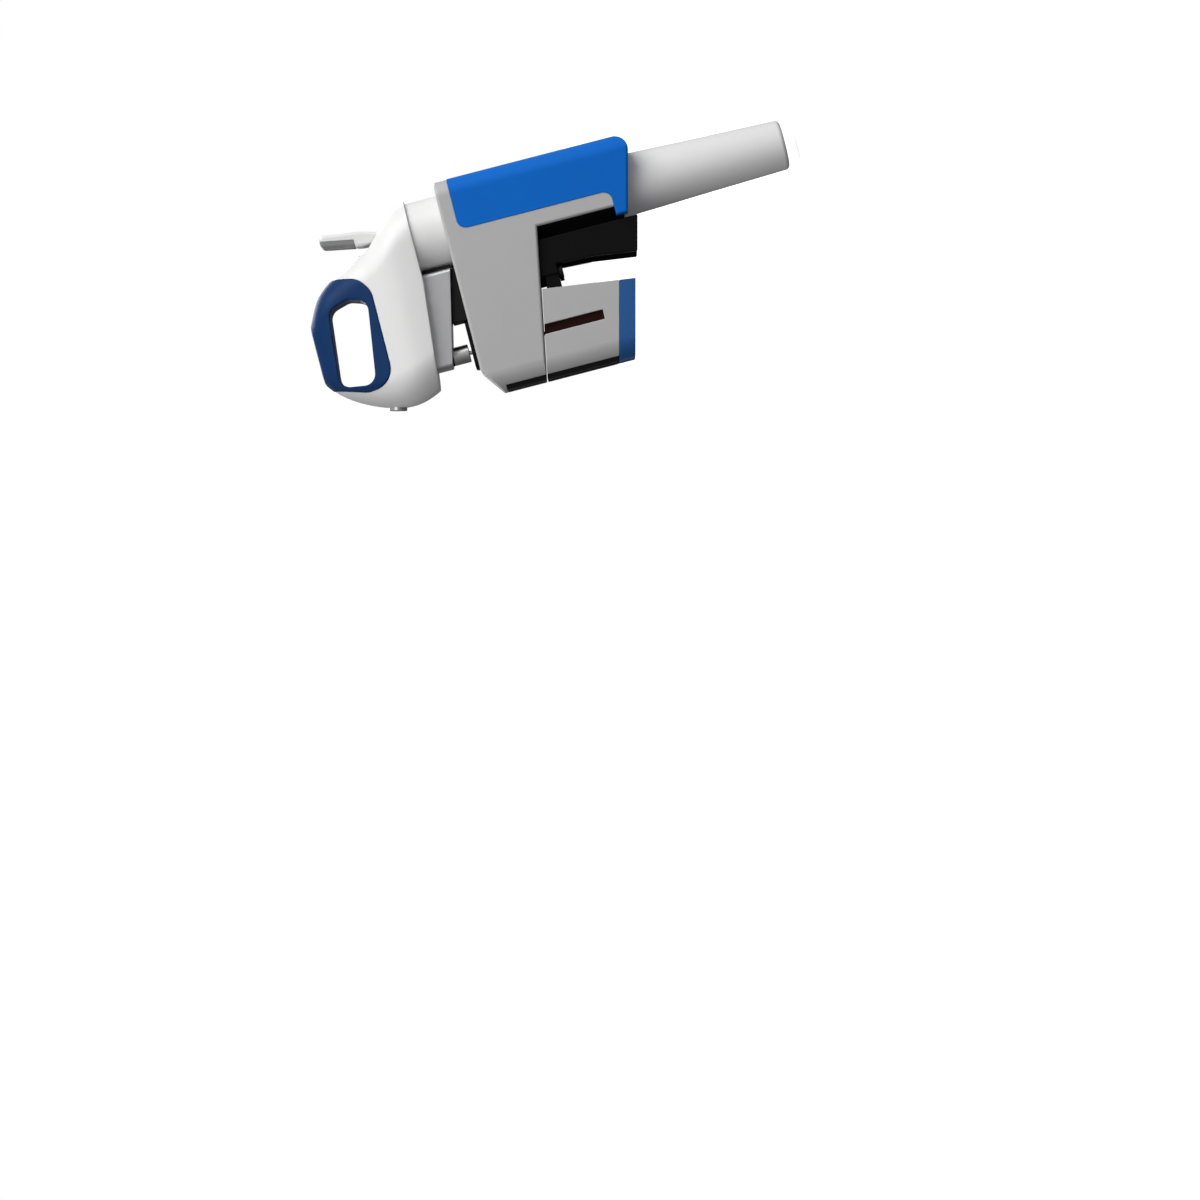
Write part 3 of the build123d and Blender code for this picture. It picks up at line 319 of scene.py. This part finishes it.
def mergedSolid(node):
    solid = bmesh.new()
    solid.from_mesh(frame["nodes"][node].data)
    bmesh.ops.remove_doubles(solid, verts=solid.verts, dist=meshSet["merge"])
    bmesh.ops.dissolve_degenerate(solid, dist=meshSet["merge"], edges=solid.edges)
    flat = math.radians(meshSet["flat"])
    bmesh.ops.dissolve_limit(solid, angle_limit=flat, verts=solid.verts, edges=solid.edges)
    return solid


def cornerEdges(solid):
    least = math.radians(meshSet["corner"])
    paired = [e for e in solid.edges if len(e.link_faces) == 2]
    return [e for e in paired if e.is_convex and e.calc_face_angle(0) > least]


def roundEdges(solid, edges, radius, steps):
    bmesh.ops.bevel(solid, geom=edges, offset=radius, offset_type="OFFSET", segments=steps, profile=0.5,
                    affect="EDGES", clamp_overlap=False)


def plainMesh(piece, name):
    bpy.context.view_layer.update()
    graph = bpy.context.evaluated_depsgraph_get()
    mesh = bpy.data.meshes.new_from_object(piece.evaluated_get(graph))
    mesh.name = name
    return mesh


def pieceName(node):
    first, *rest = node.split("_")
    return first + "".join(word.title() for word in rest) + "Finished"


def placedPiece(solid, name, body, slot):
    for face in solid.faces:
        face.smooth = True
    most = math.radians(meshSet["smooth"])
    for edge in solid.edges:
        edge.smooth = len(edge.link_faces) == 2 and edge.calc_face_angle(0) < most
    mesh = bpy.data.meshes.new(name + "Draft")
    solid.to_mesh(mesh)
    solid.free()
    draft = bpy.data.objects.new(name + "Draft", mesh)
    scene.collection.objects.link(draft)
    weigh = draft.modifiers.new("weigh", "WEIGHTED_NORMAL")
    weigh.keep_sharp = True
    piece = bpy.data.objects.new(name, plainMesh(draft, name))
    bpy.data.objects.remove(draft)
    scene.collection.objects.link(piece)
    piece.data.materials.clear()
    piece.data.materials.append(finishes[slot])
    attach(piece, body)
    return piece


def finishedPiece(solid, node):
    piece = placedPiece(solid, pieceName(node), bodyOf[node], slotOf[node])
    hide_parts(node)
    return piece


for node, (radius, steps) in softEdges.items():
    solid = mergedSolid(node)
    roundEdges(solid, cornerEdges(solid), radius, steps)
    finishedPiece(solid, node)
print("edges softened on", len(softEdges), "pieces")


# Finger loop: an even mesh, then rounds of smoothing for soft rims
loopSet = {"voxel": 0.00035, "factor": 0.5, "rounds": 12}


def buildLoop():
    solid = mergedSolid("finger_loop")
    mesh = bpy.data.meshes.new("loopDraft")
    solid.to_mesh(mesh)
    solid.free()
    draft = bpy.data.objects.new("loopDraft", mesh)
    scene.collection.objects.link(draft)
    even = draft.modifiers.new("even", "REMESH")
    even.mode = "VOXEL"
    even.voxel_size = loopSet["voxel"]
    soft = draft.modifiers.new("soft", "SMOOTH")
    soft.factor = loopSet["factor"]
    soft.iterations = loopSet["rounds"]
    solid = bmesh.new()
    solid.from_mesh(plainMesh(draft, "loopEven"))
    bpy.data.objects.remove(draft)
    finishedPiece(solid, "finger_loop")


buildLoop()
print("finger loop rounded")

# Soft dark strips in the seam between the valve housing and the tube behind it: painted shade of the gap
# there
seamShadeSet = {"thickness": 0.0016, "width": 0.0012, "inset": 0.0022, "clearance": 0.0001,
           "softness": 0.0003, "steps": 2}


def buildSeamShade():
    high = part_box("valve_housing")[1]
    housing = frame["nodes"]["valve_housing"].data
    foot = min(v.co.z for v in housing.vertices if v.co.x > high[0] - seamShadeSet["clearance"])
    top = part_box("head_shell_left")[0][2] - seamShadeSet["clearance"]
    size = Vector((seamShadeSet["thickness"], seamShadeSet["width"], top - foot))
    across = high[1] - seamShadeSet["inset"] - size.y / 2
    strips = bmesh.new()
    for side in (-1, 1):
        bar = bmesh.ops.create_cube(strips, size=1.0)["verts"]
        middle = Vector((high[0] + size.x / 2, side * across, (top + foot) / 2))
        bmesh.ops.scale(strips, vec=size, verts=bar)
        bmesh.ops.translate(strips, vec=middle, verts=bar)
    roundEdges(strips, cornerEdges(strips), seamShadeSet["softness"], seamShadeSet["steps"])
    # the strips take the buffer's black as painted shade of the gap
    placedPiece(strips, "housingSeamShadeStrips", bodyOf["valve_housing"], "buffer_black")


buildSeamShade()
print("seam strips set")

# Coil springs: joint, way along the coil, end that stays (0 low, 1 high), metres lost
springSet = {
    "spool_spring": ("spool_travel", (1.0, 0.0, 0.0), 0, 0.001),
    "regulator_spring": ("piston_float", (0.0, 0.0, 1.0), 1, 0.0012),
}


def buildSprings():
    for node, (joint, way, fixed, loss) in springSet.items():
        piece = finishedPiece(mergedSolid(node), node)
        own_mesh(piece)


buildSprings()
print("springs set:", len(springSet))

# Screws with a six-sided recess, each turned by chance
screwSet = {"headRadius": 0.0023, "headHeight": 0.001, "shankRadius": 0.0012, "sides": 32,
            "recessRadius": 0.00135, "recessDepth": 0.00065, "keySides": 6,
            "softness": 0.00012, "softSteps": 2, "seed": 7}
# Place of the seat under the head, way the head points along Y, length of the shank
screwSpots = {
    "head_screws": [((-0.0095, 0.009, 0.033), 1, 0.018), ((0.0459, 0.009, 0.043), 1, 0.018)],
    "frame_screws": [((0.0624, 0.0203, -0.008), 1, 0.0046), ((0.0624, 0.0203, -0.06), 1, 0.0046),
                     ((0.0624, -0.0203, -0.008), -1, 0.0046), ((0.0624, -0.0203, -0.06), -1, 0.0046),
                     ((0.021, 0.0205, 0.0024), 1, 0.0396)],
}


def namedInputs(tree, inputs):
    tree.interface.new_socket("Geometry", in_out="INPUT", socket_type="NodeSocketGeometry")
    for name, kind in inputs:
        tree.interface.new_socket(name, in_out="INPUT", socket_type=kind)
    tree.interface.new_socket("Geometry", in_out="OUTPUT", socket_type="NodeSocketGeometry")


def screwTree():
    tree = bpy.data.node_groups.new("screws", "GeometryNodeTree")
    namedInputs(tree, [("Head Radius", "NodeSocketFloat"), ("Head Height", "NodeSocketFloat"),
                       ("Shank Radius", "NodeSocketFloat"), ("Recess Radius", "NodeSocketFloat"),
                       ("Recess Depth", "NodeSocketFloat"), ("Sides", "NodeSocketInt"),
                       ("Seed", "NodeSocketInt"), ("Material", "NodeSocketMaterial")])
    link = tree.links.new
    given = addNode(tree, "NodeGroupInput").outputs
    points = addNode(tree, "GeometryNodeMeshToPoints")
    link(given["Geometry"], points.inputs["Mesh"])

    def times(source, factor):
        product = addNode(tree, "ShaderNodeMath", operation="MULTIPLY")
        link(source, product.inputs[0])
        product.inputs[1].default_value = factor
        return product.outputs["Value"]

    def upright(radius, depth, sides, middle):
        drum = addNode(tree, "GeometryNodeMeshCylinder")
        link(radius, drum.inputs["Radius"])
        link(depth, drum.inputs["Depth"])
        if isinstance(sides, int):
            drum.inputs["Vertices"].default_value = sides
        else:
            link(sides, drum.inputs["Vertices"])
        rise = addNode(tree, "ShaderNodeCombineXYZ")
        link(middle, rise.inputs["Z"])
        move = addNode(tree, "GeometryNodeTransform")
        link(drum.outputs["Mesh"], move.inputs["Geometry"])
        link(rise.outputs["Vector"], move.inputs["Translation"])
        return move.outputs["Geometry"]

    height = given["Head Height"]
    head = upright(given["Head Radius"], height, given["Sides"], times(height, 0.5))
    deep = times(given["Recess Depth"], 2.0)  # half of the cutter stands above the head
    key = upright(given["Recess Radius"], deep, screwSet["keySides"], height)
    cut = addNode(tree, "GeometryNodeMeshBoolean", operation="DIFFERENCE")
    link(head, cut.inputs["Mesh 1"])
    link(key, cut.inputs["Mesh 2"])
    unit = addNode(tree, "ShaderNodeValue").outputs["Value"]  # the shank is stretched to its length later
    unit.default_value = 1.0
    shank = upright(given["Shank Radius"], unit, given["Sides"], times(unit, -0.5))
    facing = addNode(tree, "GeometryNodeInputNamedAttribute", data_type="FLOAT_VECTOR")
    facing.inputs["Name"].default_value = "facing"
    aim = addNode(tree, "FunctionNodeAlignRotationToVector", axis="Z")
    link(facing.outputs["Attribute"], aim.inputs["Vector"])
    chance = addNode(tree, "FunctionNodeRandomValue", data_type="FLOAT")
    low, high = [s for s in chance.inputs if s.name in ("Min", "Max") and s.enabled][:2]
    low.default_value, high.default_value = 0.0, 2 * math.pi / screwSet["keySides"]
    link(given["Seed"], [s for s in chance.inputs if s.name == "Seed"][0])
    roll = addNode(tree, "FunctionNodeAxisAngleToRotation")
    roll.inputs["Axis"].default_value = (0.0, 0.0, 1.0)
    link([s for s in chance.outputs if s.enabled][0], roll.inputs["Angle"])
    turned = addNode(tree, "FunctionNodeRotateRotation", rotation_space="LOCAL")
    link(aim.outputs["Rotation"], turned.inputs["Rotation"])
    link(roll.outputs["Rotation"], turned.inputs["Rotate By"])
    reach = addNode(tree, "GeometryNodeInputNamedAttribute", data_type="FLOAT")
    reach.inputs["Name"].default_value = "reach"
    stretch = addNode(tree, "ShaderNodeCombineXYZ")
    stretch.inputs["X"].default_value = stretch.inputs["Y"].default_value = 1.0
    link(reach.outputs["Attribute"], stretch.inputs["Z"])
    joined = addNode(tree, "GeometryNodeJoinGeometry")
    for shape, scale in ((cut.outputs["Mesh"], None), (shank, stretch.outputs["Vector"])):
        copies = addNode(tree, "GeometryNodeInstanceOnPoints")
        link(points.outputs["Points"], copies.inputs["Points"])
        link(shape, copies.inputs["Instance"])
        link(turned.outputs["Rotation"], copies.inputs["Rotation"])
        if scale is not None:
            link(scale, copies.inputs["Scale"])
        link(copies.outputs["Instances"], joined.inputs["Geometry"])
    real = addNode(tree, "GeometryNodeRealizeInstances")
    link(joined.outputs["Geometry"], real.inputs["Geometry"])
    paint = addNode(tree, "GeometryNodeSetMaterial")
    link(real.outputs["Geometry"], paint.inputs["Geometry"])
    link(given["Material"], paint.inputs["Material"])
    link(paint.outputs["Geometry"], addNode(tree, "NodeGroupOutput").inputs["Geometry"])
    return tree


def setInputs(modifier, values):
    for item in modifier.node_group.interface.items_tree:
        if item.in_out == "INPUT" and item.name in values:
            modifier[item.identifier] = values[item.name]


def buildScrews(tree, node):
    spots = screwSpots[node]
    seats = bpy.data.meshes.new(node + "Seats")
    seats.from_pydata([place for place, way, length in spots], [], [])
    seats.attributes.new("facing", "FLOAT_VECTOR", "POINT")
    seats.attributes.new("reach", "FLOAT", "POINT")
    for i, (place, way, length) in enumerate(spots):
        seats.attributes["facing"].data[i].vector = (0.0, way, 0.0)
        seats.attributes["reach"].data[i].value = length
    draft = bpy.data.objects.new(node + "Seats", seats)
    scene.collection.objects.link(draft)
    modifier = draft.modifiers.new("screws", "NODES")
    modifier.node_group = tree
    setInputs(modifier, {"Head Radius": screwSet["headRadius"], "Head Height": screwSet["headHeight"],
                         "Shank Radius": screwSet["shankRadius"], "Recess Radius": screwSet["recessRadius"],
                         "Recess Depth": screwSet["recessDepth"], "Sides": screwSet["sides"],
                         "Seed": screwSet["seed"], "Material": finishes[slotOf[node]]})
    mesh = plainMesh(draft, node + "Plain")
    draft.modifiers.remove(modifier)
    bpy.data.objects.remove(draft)
    solid = bmesh.new()
    solid.from_mesh(mesh)
    roundEdges(solid, cornerEdges(solid), screwSet["softness"], screwSet["softSteps"])
    finishedPiece(solid, node)


screws = screwTree()
for node in screwSpots:
    buildScrews(screws, node)
print("screws set:", sum(len(spots) for spots in screwSpots.values()))
